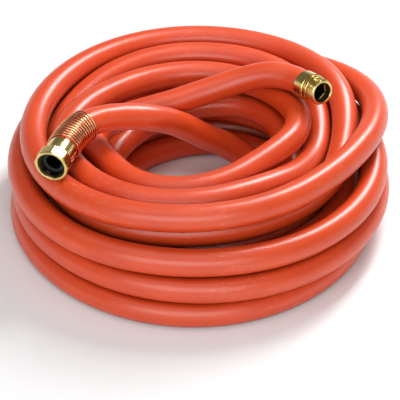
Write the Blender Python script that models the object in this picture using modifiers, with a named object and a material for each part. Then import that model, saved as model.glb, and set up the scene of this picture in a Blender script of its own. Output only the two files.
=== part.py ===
"""A coiled rubber garden hose with a brass coupling at each end.

Metres, +Z up. The coil lies on the plane Z = 0, and +X is to the right of someone
who looks along +Y. The hose is wound outward and inward again in four layers. Its
female end, with a swivel nut and a spring guard, lies on the left of the pile, and
its male end, with the external thread, on the right.
"""
import math

import bmesh
import bpy
import numpy as np
from mathutils import Matrix, Vector

# ---- fits
FIT_GAP = 0.0003              # between pieces that touch
LAY_GAP = 0.0012              # between strands that lie side by side

# ---- hose
HOSE_DIAMETER = 0.0274
COVER_WALL = 0.0012
REINFORCEMENT_WALL = 0.0008
INNER_TUBE_WALL = 0.0016
FLAT_SHARE = 0.1              # the underside is flat by this share of the diameter

# ---- coil
COIL_CENTRE = (-0.00065, -0.00237)
RIM_RADIUS = 0.182            # centreline of the outermost strand
FIRST_TURN = 0.7917           # whole turns are at the front, quarters at the left
LAST_TURN = 13.1667
TURN_POINTS = 24
BLEND_TURNS = 0.104           # each point is the mean over this much of a turn
BLEND_SAMPLES = 11

# The winding, set by hand: (turn, strands in from the rim, strands up from the floor)
WINDING = [
    (0.70, 4.15, 0.20), (0.84, 3.72, 0.00), (1.00, 3.18, 0.00), (1.30, 3.13, 0.00),
    (1.45, 3.08, 0.00), (1.60, 2.52, 0.00), (1.78, 2.48, 0.00), (2.00, 2.10, 0.00),
    (2.30, 2.09, 0.00), (2.45, 2.05, 0.00), (2.60, 1.50, 0.00), (2.78, 1.46, 0.00),
    (3.00, 1.06, 0.00), (3.30, 1.05, 0.00), (3.45, 1.02, 0.00), (3.60, 0.48, 0.00),
    (3.78, 0.46, 0.00), (4.00, 0.02, 0.00), (4.30, -0.02, 0.02), (4.45, -0.06, 0.47),
    (4.60, -0.08, 0.87), (4.78, -0.06, 0.91), (4.90, 0.02, 0.99), (5.00, 0.17, 1.00),
    (5.22, 0.07, 1.01), (5.32, 0.28, 1.05), (5.45, 0.90, 1.02), (5.60, 0.98, 1.01),
    (5.78, 0.98, 1.01), (6.00, 1.28, 1.25), (6.22, 1.14, 1.09), (6.32, 1.33, 1.07),
    (6.45, 1.92, 1.02), (6.60, 2.01, 1.01), (6.78, 2.03, 1.01), (7.00, 2.33, 1.01),
    (7.12, 2.45, 1.03), (7.28, 3.05, 1.13), (7.42, 3.08, 1.45), (7.60, 2.54, 1.91),
    (7.67, 2.80, 1.78), (7.74, 3.15, 1.42), (7.86, 2.95, 1.75), (8.00, 2.62, 2.02),
    (8.12, 2.25, 2.02), (8.22, 2.10, 1.86), (8.42, 2.02, 2.01), (8.52, 1.20, 2.01),
    (8.62, 0.32, 1.96), (8.69, 0.08, 1.92), (8.80, 0.04, 1.91), (9.00, 0.42, 1.99),
    (9.14, -0.03, 2.01), (9.32, 0.04, 2.05), (9.50, -0.10, 2.04), (9.58, -0.48, 2.05),
    (9.63, -0.75, 2.22), (9.68, -0.64, 2.76), (9.72, -0.22, 2.98), (9.755, 0.36, 3.09),
    (9.785, 0.70, 3.20), (9.81, 1.00, 3.24), (9.89, 1.25, 3.27), (10.00, 1.22, 3.26),
    (10.07, 0.93, 3.21), (10.14, 0.58, 3.14), (10.25, 0.50, 3.08), (10.42, 0.25, 3.03),
    (10.60, 0.27, 3.03), (10.64, 0.30, 3.03), (10.67, 0.48, 3.04), (10.71, 0.92, 2.95),
    (10.74, 1.22, 2.55), (10.77, 1.30, 2.29), (10.90, 1.70, 2.29), (11.00, 1.65, 2.31),
    (11.05, 1.40, 2.29), (11.10, 1.16, 2.25), (11.16, 1.05, 2.21), (11.26, 1.10, 2.13),
    (11.31, 1.15, 2.33), (11.37, 1.27, 2.73), (11.42, 1.36, 3.00), (11.60, 1.40, 3.02),
    (11.66, 1.52, 2.84), (11.69, 1.62, 2.47), (11.72, 1.80, 2.15), (11.75, 2.34, 2.15),
    (11.79, 2.42, 2.25), (11.86, 2.56, 2.76), (11.91, 2.62, 3.02), (12.00, 2.27, 3.09),
    (12.06, 2.00, 3.08), (12.12, 1.68, 3.07), (12.22, 1.50, 3.07), (12.27, 1.60, 3.07),
    (12.32, 2.15, 3.00), (12.42, 2.50, 2.95), (12.60, 2.55, 2.90), (12.68, 2.56, 2.96),
    (12.75, 2.80, 3.16), (12.79, 3.20, 3.11), (12.84, 3.66, 3.02), (12.91, 3.64, 2.93),
    (13.00, 3.30, 2.87), (13.07, 2.97, 2.83), (13.12, 2.88, 2.80), (13.30, 3.02, 2.76),
]

# ---- the two loose ends, set by hand in the same way as the winding
FEMALE_LEAD = [
    (0.1822, 1.53, 4.23), (0.1905, 1.82, 4.23), (0.1985, 2.10, 4.22), (0.2053, 2.39, 4.20),
    (0.2110, 2.71, 4.17), (0.2158, 3.04, 4.13), (0.2203, 3.40, 4.07), (0.2260, 3.79, 3.98),
    (0.2335, 4.22, 3.85), (0.247, 4.64, 3.67), (0.294, 5.10, 3.31), (0.409, 5.32, 2.67),
    (0.527, 4.98, 1.85), (0.582, 4.38, 1.21), (0.614, 4.05, 0.80), (0.645, 3.84, 0.48),
    (0.676, 3.77, 0.27), (0.703, 3.79, 0.20),
]
MALE_LEAD = [
    (0.233, 2.63, 2.77), (0.250, 2.63, 2.77), (0.268, 2.74, 2.77), (0.288, 2.94, 2.78),
    (0.312, 3.31, 2.82), (0.342, 3.72, 2.85), (0.383, 4.08, 2.91), (0.440, 4.29, 3.02),
    (0.488, 4.23, 3.13), (0.536, 4.00, 3.28), (0.573, 3.63, 3.46), (0.606, 3.22, 3.69),
    (0.632, 2.84, 3.88), (0.652, 2.55, 3.93), (0.667, 2.35, 3.94),
]
LEAD_STEP = 0.45 * HOSE_DIAMETER      # short enough for bends as tight as these
SQUARE_END = 0.003            # each lead's ends run straight for this length

# ---- where the couplings lie: mouth (as in the winding), and the way from the mouth
# ---- back to the hose
FEMALE_MOUTH = (0.1492, 0.20, 4.23)
FEMALE_BACK = (0.32, 0.947, 0.0)
MALE_MOUTH = (0.7236, 1.90, 4.21)
MALE_BACK = (-0.547, 0.811, -0.212)

# ---- garden hose thread, 3/4 inch, 11.5 threads to the inch
THREAD_PITCH = 0.0254 / 11.5
MALE_THREAD_DIAMETER = 0.02697
FEMALE_THREAD_DIAMETER = 0.0272
THREAD_DEPTH = 0.0012
THREAD_CREST_SHARE = 0.3      # of the pitch, at crest and at root alike

# ---- female coupling, depths measured back from the mouth
NUT_LENGTH = 0.0130
NUT_ACROSS_FLATS = 0.0330
NUT_SIDES = 8
NUT_EDGE_ROUNDING = 0.0008
NUT_LIP_THICKNESS = 0.0015
WASHER_THICKNESS = 0.0022
WASHER_BORE = 0.0160
FLANGE_THICKNESS = 0.0013
NECK_DIAMETER = 0.0208
SHANK_WALL = 0.0013           # between the barbs
SHANK_LENGTH = 0.0170
BARB_PITCH = 0.0045
BARB_DEPTH = 0.0005
FERRULE_LENGTH = 0.0162
FERRULE_WALL = 0.0010
FERRULE_FRONT_WALL = 0.0012
FERRULE_CHAMFER = 0.0006
FEMALE_HOSE_PAST_FERRULE = 0.0035

# ---- spring guard
GUARD_WIRE = 0.0019
GUARD_PITCH = 0.0038
GUARD_CURLS = 12.0
CURL_POINTS = 10
GUARD_LEAD_STEP = 0.008       # the hose under the guard bends in steps this short

# ---- male coupling, depths measured back from the mouth
MALE_THREAD_START = 0.0009
MALE_THREAD_END = 0.0098
MALE_RELIEF_LENGTH = 0.0007
COLLAR_DIAMETER = 0.0288
COLLAR_LENGTH = 0.0040
COLLAR_CHAMFER = 0.0005
COLLAR_GROOVE_DIAMETER = 0.0262
COLLAR_GROOVE_LENGTH = 0.0015
COUNTERBORE_DIAMETER = 0.0206
COUNTERBORE_DEPTH = 0.0080
HEX_DEPTH = 0.0070
MALE_FERRULE_LENGTH = 0.0137
MALE_SHANK_LENGTH = 0.0115
MALE_HOSE_PAST_FERRULE = 0.0004

ROUND_SIDES = 28
SMOOTH_ANGLE = math.radians(35)

# ---- values that follow from the sizes above
HOSE_RADIUS = HOSE_DIAMETER / 2
STRAND_PITCH = HOSE_DIAMETER + LAY_GAP
FLAT_DEPTH = FLAT_SHARE * HOSE_DIAMETER
FLOOR_STRAND_HEIGHT = HOSE_RADIUS - FLAT_DEPTH
COVER_INSIDE = HOSE_RADIUS - COVER_WALL
CORD_OUTSIDE = COVER_INSIDE - FIT_GAP
CORD_INSIDE = CORD_OUTSIDE - REINFORCEMENT_WALL
TUBE_OUTSIDE = CORD_INSIDE - FIT_GAP
TUBE_INSIDE = TUBE_OUTSIDE - INNER_TUBE_WALL
FERRULE_RADIUS = HOSE_RADIUS + FIT_GAP + FERRULE_WALL
SHANK_RADIUS = TUBE_INSIDE - FIT_GAP
TAILPIECE_BORE = 2 * (SHANK_RADIUS - BARB_DEPTH - SHANK_WALL)
HEX_ACROSS_FLATS = COUNTERBORE_DIAMETER * math.cos(math.pi / 6) - FIT_GAP
THREAD_CREST_RADIUS = FEMALE_THREAD_DIAMETER / 2 - THREAD_DEPTH
WASHER_RADIUS = THREAD_CREST_RADIUS - FIT_GAP      # so that it goes in past the thread
FERRULE_FRONT = NUT_LENGTH + FIT_GAP
FEMALE_SEAT = FERRULE_FRONT + FERRULE_FRONT_WALL + FIT_GAP
FERRULE_BACK = FERRULE_FRONT + FERRULE_LENGTH
FEMALE_STRAIGHT_END = FERRULE_BACK + FEMALE_HOSE_PAST_FERRULE
MALE_COLLAR_FRONT = MALE_THREAD_END + MALE_RELIEF_LENGTH
MALE_GROOVE_FRONT = MALE_COLLAR_FRONT + COLLAR_LENGTH
MALE_NECK_FRONT = MALE_GROOVE_FRONT + COLLAR_GROOVE_LENGTH
MALE_FERRULE_FRONT = MALE_NECK_FRONT + FIT_GAP
MALE_SEAT = MALE_FERRULE_FRONT + FERRULE_FRONT_WALL + FIT_GAP
MALE_FERRULE_BACK = MALE_FERRULE_FRONT + MALE_FERRULE_LENGTH
MALE_STRAIGHT_END = MALE_FERRULE_BACK + MALE_HOSE_PAST_FERRULE


# ---------------------------------------------------------------- scene and materials
def clear_scene():
    for item in list(bpy.data.objects):
        bpy.data.objects.remove(item, do_unlink=True)


def new_collection(name):
    collection = bpy.data.collections.new(name)
    bpy.context.scene.collection.children.link(collection)
    return collection


def new_material(name, colour, roughness, metallic):
    material = bpy.data.materials.new(name)
    material.use_nodes = True
    shader = material.node_tree.nodes["Principled BSDF"]
    shader.inputs["Base Color"].default_value = (*colour, 1.0)
    shader.inputs["Roughness"].default_value = roughness
    shader.inputs["Metallic"].default_value = metallic
    material.diffuse_color = (*colour, 1.0)
    return material


def link(item, collection, parent=None):
    collection.objects.link(item)
    if parent:
        item.parent = parent


# ---------------------------------------------------------------- routes
def strand_point(turn, strands_in, strands_up):
    """A point by its turn, its strands in from the rim and its strands up."""
    angle = -math.pi / 2 - 2 * math.pi * turn
    radius = RIM_RADIUS - strands_in * STRAND_PITCH
    return np.array([COIL_CENTRE[0] + radius * math.cos(angle),
                     COIL_CENTRE[1] + radius * math.sin(angle),
                     FLOOR_STRAND_HEIGHT + strands_up * STRAND_PITCH])


def coil_point(turn):
    """A point of the coil, its winding blended over a short stretch of the turn."""
    keys = np.array(WINDING)
    span = turn + np.linspace(-BLEND_TURNS / 2, BLEND_TURNS / 2, BLEND_SAMPLES)
    strands_in = np.interp(span, keys[:, 0], keys[:, 1]).mean()
    strands_up = np.interp(span, keys[:, 0], keys[:, 2]).mean()
    return strand_point(turn, strands_in, strands_up)


def straight_end(turn, step):
    """The end of the straight stretch, one diameter long, that leaves the coil here."""
    start = coil_point(turn)
    heading = start - coil_point(turn + step)
    return start + heading / np.linalg.norm(heading) * HOSE_DIAMETER


def coil_route():
    steps = round((LAST_TURN - FIRST_TURN) * TURN_POINTS)
    turns = [FIRST_TURN + (LAST_TURN - FIRST_TURN) * k / steps for k in range(steps + 1)]
    short_step = 0.1 / TURN_POINTS
    first = straight_end(FIRST_TURN, short_step)
    last = straight_end(LAST_TURN, -short_step)
    return np.array([first, *[coil_point(turn) for turn in turns], last])


def beyond(start, end):
    """A point a little beyond the end of a straight stretch."""
    heading = end - start
    return end + heading / np.linalg.norm(heading) * SQUARE_END


def coupling_point(mouth, back, depth):
    """A point on a coupling's axis, at a depth behind its mouth."""
    direction = np.array(back) / np.linalg.norm(back)
    return strand_point(*mouth) + direction * depth


def smooth_route(guides, per_span=24):
    """A smooth curve from the second guide to the last but one, through those between."""
    points = np.array(guides)
    route = []
    for a, b, c, d in zip(points, points[1:], points[2:], points[3:]):
        before, span, after = [np.linalg.norm(v) for v in (b - a, c - b, d - c)]
        leave = (c - b) + span * ((b - a) / before - (c - a) / (before + span))
        arrive = (c - b) + span * ((d - c) / after - (d - b) / (span + after))
        for u in np.arange(per_span) / per_span:
            turn_in = 3 * u ** 2 - 2 * u ** 3
            route.append(b + (c - b) * turn_in + leave * (u - 2 * u ** 2 + u ** 3)
                         + arrive * (u ** 3 - u ** 2))
    route.append(points[-2])
    return np.array(route)


def lengths_along(route):
    steps = np.linalg.norm(np.diff(route, axis=0), axis=1)
    return np.concatenate([[0.0], np.cumsum(steps)])


def points_at(route, distances):
    along = lengths_along(route)
    return np.stack([np.interp(distances, along, route[:, axis]) for axis in range(3)], axis=1)


def even_distances(start, end, step):
    count = max(1, math.ceil((end - start) / step))
    return np.linspace(start, end, count + 1)


def female_lead_route(coil):
    """From the end of the coupling's straight hose to the start of the coil."""
    mouth, back = FEMALE_MOUTH, FEMALE_BACK
    depths = (-SQUARE_END, 0.0, SQUARE_END)
    guides = [coupling_point(mouth, back, FEMALE_STRAIGHT_END + depth) for depth in depths]
    guides += [strand_point(*point) for point in FEMALE_LEAD]
    return smooth_route(guides + [beyond(coil[1], coil[0]), coil[0], coil[1]])


def male_lead_route(coil):
    """From the end of the coil to the coupling's straight hose."""
    mouth, back = MALE_MOUTH, MALE_BACK
    depths = (SQUARE_END, 0.0, -SQUARE_END)
    guides = [coil[-2], coil[-1], beyond(coil[-2], coil[-1])]
    guides += [strand_point(*point) for point in MALE_LEAD]
    guides += [coupling_point(mouth, back, MALE_STRAIGHT_END + depth) for depth in depths]
    return smooth_route(guides)


def lead_distances(length, fine_length, fine_step):
    """Where along a lead its points lie: the ends square, one stretch of it finer."""
    start = SQUARE_END
    end = length - SQUARE_END
    fine_end = max(start, fine_length)
    middle = np.concatenate([even_distances(start, fine_end, fine_step)[:-1],
                             even_distances(fine_end, end, LEAD_STEP)])
    return np.concatenate([[FIT_GAP], middle, [length - FIT_GAP]])


def least_gap(route, diameter):
    """The least gap between a tube and itself, measured on points along it."""
    length = lengths_along(route)[-1]
    distances = even_distances(0, length, diameter / 8)
    points = points_at(route, distances)
    nearest = math.inf
    for index, point in enumerate(points):
        others = points[distances > distances[index] + 3 * diameter]
        if len(others):
            nearest = min(nearest, np.linalg.norm(others - point, axis=1).min())
    return nearest - diameter


# ---------------------------------------------------------------- shapes
def tube(name, points, diameter, bevel_resolution, material, collection):
    data = bpy.data.curves.new(name, "CURVE")
    data.dimensions = "3D"
    data.bevel_depth = diameter / 2
    data.bevel_resolution = bevel_resolution
    data.use_fill_caps = True
    spline = data.splines.new("POLY")
    spline.points.add(len(points) - 1)
    for target, point in zip(spline.points, points):
        target.co = (*point, 1.0)
    spline.use_smooth = True
    data.materials.append(material)
    item = bpy.data.objects.new(name, data)
    link(item, collection)
    return item


def as_mesh(item, collection):
    """Turn a tube into a mesh whose caps are welded on, so that it can be cut."""
    bpy.context.view_layer.update()
    evaluated = item.evaluated_get(bpy.context.evaluated_depsgraph_get())
    data = bpy.data.meshes.new_from_object(evaluated)
    shape = bmesh.new()
    shape.from_mesh(data)
    bmesh.ops.remove_doubles(shape, verts=shape.verts, dist=1e-6)
    shape.to_mesh(data)
    shape.free()
    name = item.name
    place = item.matrix_world.copy()
    bpy.data.objects.remove(item, do_unlink=True)
    result = bpy.data.objects.new(name, data)
    result.matrix_world = place
    link(result, collection)
    return result


def round_shading(data):
    data.shade_smooth()
    data.set_sharp_from_angle(angle=SMOOTH_ANGLE)


def turned(name, profile, material, collection, parent, closed=True):
    """A turned piece: radius and depth pairs, down its outer side and up its inner side."""
    data = bpy.data.meshes.new(name)
    shape = bmesh.new()
    corners = [shape.verts.new((radius, 0.0, -depth)) for radius, depth in profile]
    for start, end in zip(corners, corners[1:]):
        shape.edges.new((start, end))
    if closed:
        shape.edges.new((corners[-1], corners[0]))
    shape.to_mesh(data)
    shape.free()
    data.materials.append(material)
    item = bpy.data.objects.new(name, data)
    link(item, collection, parent)
    screw = item.modifiers.new("turn", "SCREW")
    screw.axis = "Z"
    screw.angle = 2 * math.pi
    screw.steps = ROUND_SIDES
    screw.render_steps = ROUND_SIDES
    screw.use_merge_vertices = True
    screw.merge_threshold = 1e-6
    screw.use_smooth_shade = True
    return item


def prism(name, sides, across_flats, front, back, material, collection, parent):
    """A regular prism along the coupling's axis, between two depths."""
    data = bpy.data.meshes.new(name)
    shape = bmesh.new()
    corner_radius = across_flats / 2 / math.cos(math.pi / sides)
    bmesh.ops.create_cone(shape, cap_ends=True, segments=sides, radius1=corner_radius,
                          radius2=corner_radius, depth=back - front,
                          matrix=Matrix.Translation((0, 0, -(front + back) / 2)))
    shape.to_mesh(data)
    shape.free()
    data.materials.append(material)
    item = bpy.data.objects.new(name, data)
    link(item, collection, parent)
    return item


def box(name, low, high, material, collection):
    data = bpy.data.meshes.new(name)
    shape = bmesh.new()
    size = Vector(high) - Vector(low)
    middle = (Vector(high) + Vector(low)) / 2
    bmesh.ops.create_cube(shape, size=1.0)
    bmesh.ops.scale(shape, vec=size, verts=shape.verts)
    bmesh.ops.translate(shape, vec=middle, verts=shape.verts)
    shape.to_mesh(data)
    shape.free()
    data.materials.append(material)
    item = bpy.data.objects.new(name, data)
    link(item, collection)
    return item


def round_edges(item, width):
    bevel = item.modifiers.new("round edges", "BEVEL")
    bevel.width = width
    bevel.segments = 2
    bevel.limit_method = "ANGLE"
    bevel.angle_limit = SMOOTH_ANGLE


def cut(item, cutter):
    cutter.hide_render = True
    cutter.display_type = "WIRE"
    boolean = item.modifiers.new("cut " + cutter.name, "BOOLEAN")
    boolean.operation = "DIFFERENCE"
    boolean.solver = "EXACT"
    boolean.object = cutter


def coupling_frame(name, mouth, back, collection):
    """An empty at a coupling's mouth, its Z axis pointing out of the mouth."""
    out = -Vector(back).normalized()
    side = Vector((0, 0, 1)).cross(out).normalized()
    above = out.cross(side)
    place = Matrix((side, above, out)).transposed().to_4x4()
    place.translation = Vector(strand_point(*mouth))
    item = bpy.data.objects.new(name, None)
    item.matrix_world = place
    item.empty_display_size = HOSE_DIAMETER
    link(item, collection)
    return item


# ---------------------------------------------------------------- profiles
def thread_profile(crest_radius, root_radius, front, back):
    """Thread ridges as rings of one pitch, from crest to crest."""
    count = int((back - front) / THREAD_PITCH + 1e-6)
    start = back - count * THREAD_PITCH
    crest = THREAD_CREST_SHARE * THREAD_PITCH
    slope = (THREAD_PITCH - 2 * crest) / 2
    profile = []
    for ring in range(count):
        top = start + ring * THREAD_PITCH
        profile += [(crest_radius, top), (crest_radius, top + crest),
                    (root_radius, top + crest + slope),
                    (root_radius, top + 2 * crest + slope)]
    return profile


def barb_profile(radius, front, back):
    """Saw-tooth barbs that point back toward the coupling."""
    count = max(1, int((back - front) / BARB_PITCH + 1e-6))
    pitch = (back - front) / count
    profile = []
    for barb in range(count):
        top = front + barb * pitch
        profile += [(radius - BARB_DEPTH, top), (radius, top + 0.2 * pitch)]
    profile.append((radius - BARB_DEPTH, back))
    return profile


def ring_profile(outer_radius, inner_radius, front, back, chamfer=0.0):
    profile = [(outer_radius, front + chamfer), (outer_radius, back - chamfer)]
    if chamfer:
        profile = [(outer_radius - chamfer, front), *profile, (outer_radius - chamfer, back)]
    return profile + [(inner_radius, back), (inner_radius, front)]


def ferrule_profile(front, back):
    """A crimp sleeve: a thin cup over the hose's end, its front wall round the neck."""
    neck_hole = NECK_DIAMETER / 2 + FIT_GAP
    inside = FERRULE_RADIUS - FERRULE_WALL
    return [(FERRULE_RADIUS - FERRULE_CHAMFER, front),
            (FERRULE_RADIUS, front + FERRULE_CHAMFER),
            (FERRULE_RADIUS, back - FERRULE_CHAMFER / 2),
            (FERRULE_RADIUS - FERRULE_CHAMFER / 2, back),
            (inside, back),
            (inside, front + FERRULE_FRONT_WALL),
            (neck_hole, front + FERRULE_FRONT_WALL),
            (neck_hole, front)]


# ---------------------------------------------------------------- hose
def build_hose(red, collection, cutters):
    coil = coil_route()
    female_lead = female_lead_route(coil)
    male_lead = male_lead_route(coil)

    item = tube("hose_coil", coil, HOSE_DIAMETER, 1, red, collection)
    item = as_mesh(item, collection)
    round_shading(item.data)
    reach = 2 * RIM_RADIUS
    below = box("floor_cutter", (-reach, -reach, -HOSE_DIAMETER), (reach, reach, 0.0),
                red, cutters)
    cut(item, below)

    length = lengths_along(female_lead)[-1]
    under_guard = guard_length() - FEMALE_HOSE_PAST_FERRULE
    distances = lead_distances(length, under_guard, GUARD_LEAD_STEP)
    tube("hose_lead_female", points_at(female_lead, distances), HOSE_DIAMETER, 3,
         red, collection)

    length = lengths_along(male_lead)[-1]
    distances = lead_distances(length, 0.0, LEAD_STEP)
    tube("hose_lead_male", points_at(male_lead, distances), HOSE_DIAMETER, 3,
         red, collection)

    print("hose_coil least gap to itself: %.2f mm" % (1000 * least_gap(coil, HOSE_DIAMETER)))
    print("hose length outside the couplings: %.2f m"
          % sum(lengths_along(route)[-1] for route in (coil, female_lead, male_lead)))
    return female_lead


def build_hose_end(side, seat, end, materials, collection, parent):
    """The three layers of the hose where it is straight inside a coupling."""
    red, cord, black = materials
    layers = (("hose_inner_tube_" + side, TUBE_INSIDE, TUBE_OUTSIDE, black),
              ("hose_reinforcement_" + side, CORD_INSIDE, CORD_OUTSIDE, cord),
              ("hose_cover_" + side, COVER_INSIDE, HOSE_RADIUS, red))
    for name, inside, outside, material in layers:
        turned(name, ring_profile(outside, inside, seat, end), material, collection, parent)


# ---------------------------------------------------------------- female coupling
def build_swivel_nut(brass, collection, cutters, parent):
    item = prism("swivel_nut", NUT_SIDES, NUT_ACROSS_FLATS, 0.0, NUT_LENGTH,
                 brass, collection, parent)
    round_edges(item, NUT_EDGE_ROUNDING)
    root = FEMALE_THREAD_DIAMETER / 2
    crest = THREAD_CREST_RADIUS
    chamber_back = NUT_LENGTH - NUT_LIP_THICKNESS
    washer_front = chamber_back - FLANGE_THICKNESS - WASHER_THICKNESS - 2 * FIT_GAP
    mouth_edge = root + FIT_GAP
    past = NUT_LIP_THICKNESS
    lip_hole = NECK_DIAMETER / 2 + FIT_GAP
    profile = [(0.0, -past), (mouth_edge, -past), (mouth_edge, 0.0), (crest, THREAD_DEPTH)]
    profile += thread_profile(crest, root, THREAD_DEPTH, washer_front)[1:]
    profile += [(root, chamber_back), (lip_hole, chamber_back),
                (lip_hole, NUT_LENGTH + past), (0.0, NUT_LENGTH + past)]
    inside = turned("nut_cutter", profile, brass, cutters, parent, closed=False)
    cut(item, inside)
    return washer_front


def build_female_coupling(brass, rubber, collection, cutters, parent):
    washer_front = build_swivel_nut(brass, collection, cutters, parent)
    washer_back = washer_front + WASHER_THICKNESS
    turned("sealing_washer",
           ring_profile(WASHER_RADIUS, WASHER_BORE / 2, washer_front, washer_back),
           rubber, collection, parent)

    flange_radius = FEMALE_THREAD_DIAMETER / 2 - FIT_GAP
    flange_front = washer_back + FIT_GAP
    flange_back = flange_front + FLANGE_THICKNESS
    neck_back = FEMALE_SEAT - FIT_GAP
    shank_end = FEMALE_SEAT + SHANK_LENGTH
    profile = [(flange_radius, flange_front), (flange_radius, flange_back),
               (NECK_DIAMETER / 2, flange_back), (NECK_DIAMETER / 2, neck_back)]
    profile += barb_profile(SHANK_RADIUS, neck_back, shank_end)
    profile += [(TAILPIECE_BORE / 2, shank_end), (TAILPIECE_BORE / 2, flange_front)]
    turned("female_tailpiece", profile, brass, collection, parent)
    turned("female_ferrule", ferrule_profile(FERRULE_FRONT, FERRULE_BACK), brass,
           collection, parent)


# ---------------------------------------------------------------- spring guard
def guard_length():
    """From the ferrule's back to the end of the last curl."""
    return FIT_GAP + GUARD_WIRE + GUARD_CURLS * GUARD_PITCH


def guard_axis(female_lead):
    """The hose's centreline from the ferrule's back on."""
    start = coupling_point(FEMALE_MOUTH, FEMALE_BACK, FERRULE_BACK)
    return np.array([start, *female_lead])


def build_spring_guard(female_lead, copper, collection):
    axis = guard_axis(female_lead)
    chord_share = math.cos(math.pi / CURL_POINTS)
    radius = (HOSE_RADIUS + FIT_GAP + GUARD_WIRE / 2) / chord_share
    count = round(GUARD_CURLS * CURL_POINTS)
    start = FIT_GAP + GUARD_WIRE / 2
    distances = [start + GUARD_PITCH * k / CURL_POINTS for k in range(count + 1)]
    centres = points_at(axis, distances)
    ahead = points_at(axis, [distance + GUARD_PITCH for distance in distances])
    behind = points_at(axis, [max(0.0, distance - GUARD_PITCH) for distance in distances])
    points = []
    for k, (centre, heading) in enumerate(zip(centres, ahead - behind)):
        heading = heading / np.linalg.norm(heading)
        side = np.cross((0, 0, 1), heading)
        side = side / np.linalg.norm(side)
        above = np.cross(heading, side)
        angle = 2 * math.pi * k / CURL_POINTS
        points.append(centre + radius * (math.cos(angle) * side + math.sin(angle) * above))
    points = np.array(points)
    tube("spring_guard", points, GUARD_WIRE, 1, copper, collection)
    print("spring_guard least gap to itself: %.2f mm" % (1000 * least_gap(points, GUARD_WIRE)))


# ---------------------------------------------------------------- male coupling
def build_male_coupling(brass, collection, cutters, parent):
    crest = MALE_THREAD_DIAMETER / 2
    root = crest - THREAD_DEPTH
    collar = COLLAR_DIAMETER / 2
    groove = COLLAR_GROOVE_DIAMETER / 2
    neck = NECK_DIAMETER / 2
    neck_back = MALE_SEAT - FIT_GAP
    shank_end = MALE_SEAT + MALE_SHANK_LENGTH
    profile = [(root, 0.0)]
    profile += thread_profile(crest, root, MALE_THREAD_START, MALE_THREAD_END)
    profile += [(root, MALE_COLLAR_FRONT),
                (collar - COLLAR_CHAMFER, MALE_COLLAR_FRONT),
                (collar, MALE_COLLAR_FRONT + COLLAR_CHAMFER),
                (collar, MALE_GROOVE_FRONT - COLLAR_CHAMFER),
                (collar - COLLAR_CHAMFER, MALE_GROOVE_FRONT),
                (groove, MALE_GROOVE_FRONT), (groove, MALE_NECK_FRONT),
                (neck, MALE_NECK_FRONT), (neck, neck_back)]
    profile += barb_profile(SHANK_RADIUS, neck_back, shank_end)
    profile += [(TAILPIECE_BORE / 2, shank_end), (TAILPIECE_BORE / 2, COUNTERBORE_DEPTH),
                (COUNTERBORE_DIAMETER / 2, COUNTERBORE_DEPTH), (COUNTERBORE_DIAMETER / 2, 0.0)]
    item = turned("male_stem", profile, brass, collection, parent)
    hexagon = prism("hex_cutter", 6, HEX_ACROSS_FLATS, COUNTERBORE_DEPTH - HEX_DEPTH / 2,
                    COUNTERBORE_DEPTH + HEX_DEPTH, brass, cutters, parent)
    cut(item, hexagon)
    turned("male_ferrule", ferrule_profile(MALE_FERRULE_FRONT, MALE_FERRULE_BACK), brass,
           collection, parent)


def main():
    clear_scene()
    hose = new_collection("garden_hose")
    cutters = new_collection("garden_hose_cutters")
    red = new_material("red_rubber", (0.60, 0.075, 0.035), 0.42, 0.0)
    brass = new_material("brass", (0.80, 0.62, 0.22), 0.22, 1.0)
    copper = new_material("coppered_steel", (0.78, 0.42, 0.24), 0.28, 1.0)
    rubber = new_material("black_rubber", (0.02, 0.02, 0.02), 0.6, 0.0)
    cord = new_material("polyester_cord", (0.75, 0.73, 0.68), 0.8, 0.0)

    female_lead = build_hose(red, hose, cutters)
    build_spring_guard(female_lead, copper, hose)
    female = coupling_frame("female_coupling", FEMALE_MOUTH, FEMALE_BACK, hose)
    male = coupling_frame("male_coupling", MALE_MOUTH, MALE_BACK, hose)
    build_female_coupling(brass, rubber, hose, cutters, female)
    build_male_coupling(brass, hose, cutters, male)
    layers = (red, cord, rubber)
    build_hose_end("female", FEMALE_SEAT, FEMALE_STRAIGHT_END, layers, hose, female)
    build_hose_end("male", MALE_SEAT, MALE_STRAIGHT_END, layers, hose, male)


main()
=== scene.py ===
"""The dressed garden hose: camera, hose, couplings, spring guard, materials and light."""
import math

import bpy
import numpy as np
from mathutils import Matrix, Vector


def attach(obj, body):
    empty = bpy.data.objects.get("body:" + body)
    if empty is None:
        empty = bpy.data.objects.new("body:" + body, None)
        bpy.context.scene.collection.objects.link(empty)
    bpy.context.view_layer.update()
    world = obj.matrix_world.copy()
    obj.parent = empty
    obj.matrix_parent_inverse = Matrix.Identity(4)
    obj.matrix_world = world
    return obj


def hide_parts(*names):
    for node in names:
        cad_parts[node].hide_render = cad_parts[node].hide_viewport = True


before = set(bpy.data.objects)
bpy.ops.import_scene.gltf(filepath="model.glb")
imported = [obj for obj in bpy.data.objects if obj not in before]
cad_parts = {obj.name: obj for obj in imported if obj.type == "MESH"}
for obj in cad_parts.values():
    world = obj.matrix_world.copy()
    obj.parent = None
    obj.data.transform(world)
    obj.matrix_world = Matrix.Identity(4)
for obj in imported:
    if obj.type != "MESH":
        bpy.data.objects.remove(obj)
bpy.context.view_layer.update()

# ---------------------------------------------------------------- sizes, as in the part
FIT_GAP = 0.0003              # between pieces that touch
LAY_GAP = 0.0012              # between strands that lie side by side
HOSE_DIAMETER = 0.0274
HOSE_BORE = 0.0190
FLAT_SHARE = 0.1              # the underside is flat by this share of the diameter
HOSE_RADIUS = HOSE_DIAMETER / 2
STRAND_PITCH = HOSE_DIAMETER + LAY_GAP
FLOOR_STRAND_HEIGHT = HOSE_RADIUS - FLAT_SHARE * HOSE_DIAMETER
COIL_CENTRE = (-0.00065, -0.00237)
RIM_RADIUS = 0.182            # centreline of the outermost strand
FIRST_TURN = 0.7917           # whole turns are at the front, quarters at the left
LAST_TURN = 13.1667
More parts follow.
